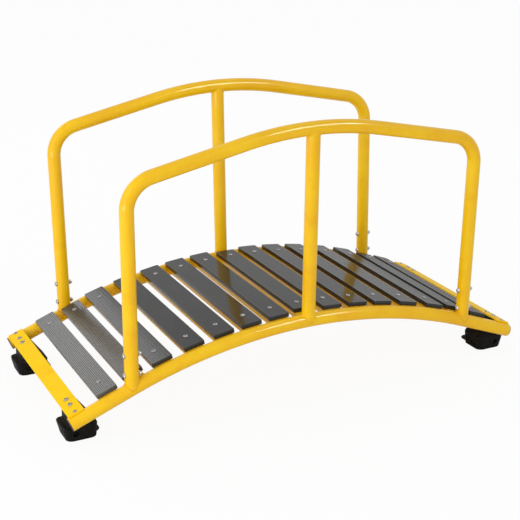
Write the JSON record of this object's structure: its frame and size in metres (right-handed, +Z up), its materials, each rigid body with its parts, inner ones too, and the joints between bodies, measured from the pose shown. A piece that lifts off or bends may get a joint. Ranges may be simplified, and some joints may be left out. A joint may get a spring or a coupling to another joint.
{
  "type": "climbing arch",
  "caption": "Low arched walking bridge for children: bent tube rails with ribbed treads, two bolted handrail hoops and rubber feet.",
  "frame": {"origin": "middle of the footprint, on the floor", "axes": "+X along the arch, +Y across it towards the rear rail, +Z up"},
  "size_m": [1.4056, 0.6414, 0.7898],
  "materials": {
    "frame_paint": "glossy golden yellow powder coat",
    "tread_plastic": "ribbed, finely cross-hatched dark grey",
    "foot_rubber": "satin black moulded",
    "cap_plastic": "satin black",
    "fastener_steel": "zinc plated"
  },
  "bodies": {
    "root": {"rail_front": "frame_paint", "handrail_front": "frame_paint", "middle_post_front": "frame_paint", "spigot_front_middle": "frame_paint", "spigot_front_left": "frame_paint", "rail_cap_front_left": "cap_plastic", "foot_front_left": "foot_rubber", "spigot_front_right": "frame_paint", "rail_cap_front_right": "cap_plastic", "foot_front_right": "foot_rubber", "rail_rear": "frame_paint", "handrail_rear": "frame_paint", "middle_post_rear": "frame_paint", "spigot_rear_middle": "frame_paint", "spigot_rear_left": "frame_paint", "rail_cap_rear_left": "cap_plastic", "foot_rear_left": "foot_rubber", "spigot_rear_right": "frame_paint", "rail_cap_rear_right": "cap_plastic", "foot_rear_right": "foot_rubber", "end_plate_left": "frame_paint", "end_plate_right": "frame_paint", "crossbar_01": "frame_paint", "slat_01": "tread_plastic", "crossbar_02": "frame_paint", "slat_02": "tread_plastic", "crossbar_03": "frame_paint", "slat_03": "tread_plastic", "crossbar_04": "frame_paint", "slat_04": "tread_plastic", "crossbar_05": "frame_paint", "slat_05": "tread_plastic", "crossbar_06": "frame_paint", "slat_06": "tread_plastic", "crossbar_07": "frame_paint", "slat_07": "tread_plastic", "crossbar_08": "frame_paint", "slat_08": "tread_plastic", "crossbar_09": "frame_paint", "slat_09": "tread_plastic", "crossbar_10": "frame_paint", "slat_10": "tread_plastic", "crossbar_11": "frame_paint", "slat_11": "tread_plastic", "crossbar_12": "frame_paint", "slat_12": "tread_plastic", "crossbar_13": "frame_paint", "slat_13": "tread_plastic", "crossbar_14": "frame_paint", "slat_14": "tread_plastic", "crossbar_15": "frame_paint", "slat_15": "tread_plastic", "slat_bolts": "fastener_steel", "slat_nuts": "fastener_steel", "foot_bolts": "fastener_steel", "foot_washers": "fastener_steel", "foot_nuts": "fastener_steel", "plate_screws": "fastener_steel", "post_bolts": "fastener_steel", "post_nuts": "fastener_steel"}
  },
  "joints": []
}
